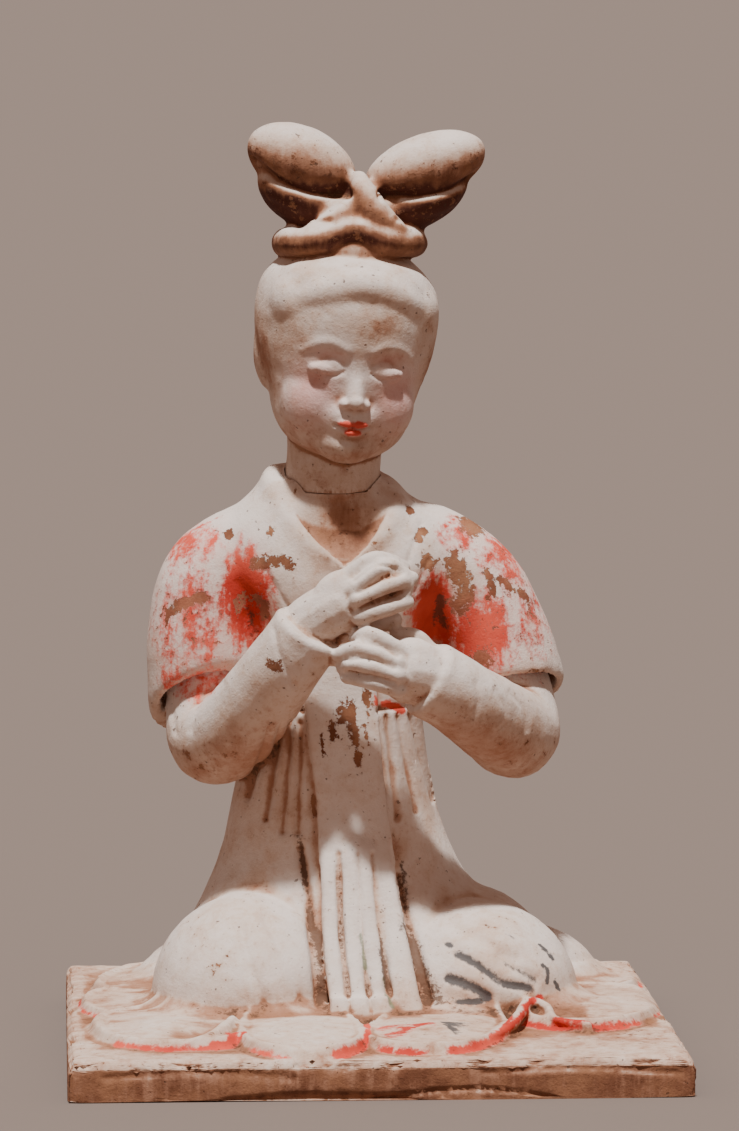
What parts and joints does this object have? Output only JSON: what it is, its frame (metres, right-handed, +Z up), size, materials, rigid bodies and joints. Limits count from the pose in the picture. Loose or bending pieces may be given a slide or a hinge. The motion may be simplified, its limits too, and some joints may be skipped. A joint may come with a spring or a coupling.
{
  "type": "kneeling tomb figurine",
  "caption": "Painted earthenware figurine of a lady kneeling on a square slab, hands held before the chest, hair in a looped topknot.",
  "frame": {"origin": "middle of the slab's flat underside", "axes": "+Z up, from the slab to the topknot; the figure faces -Y; +X is to the viewer's right"},
  "size_m": [0.2, 0.2, 0.3087],
  "materials": {
    "earthenware": null
  },
  "bodies": {
    "root": {"body": "earthenware", "head": "earthenware"}
  },
  "joints": []
}
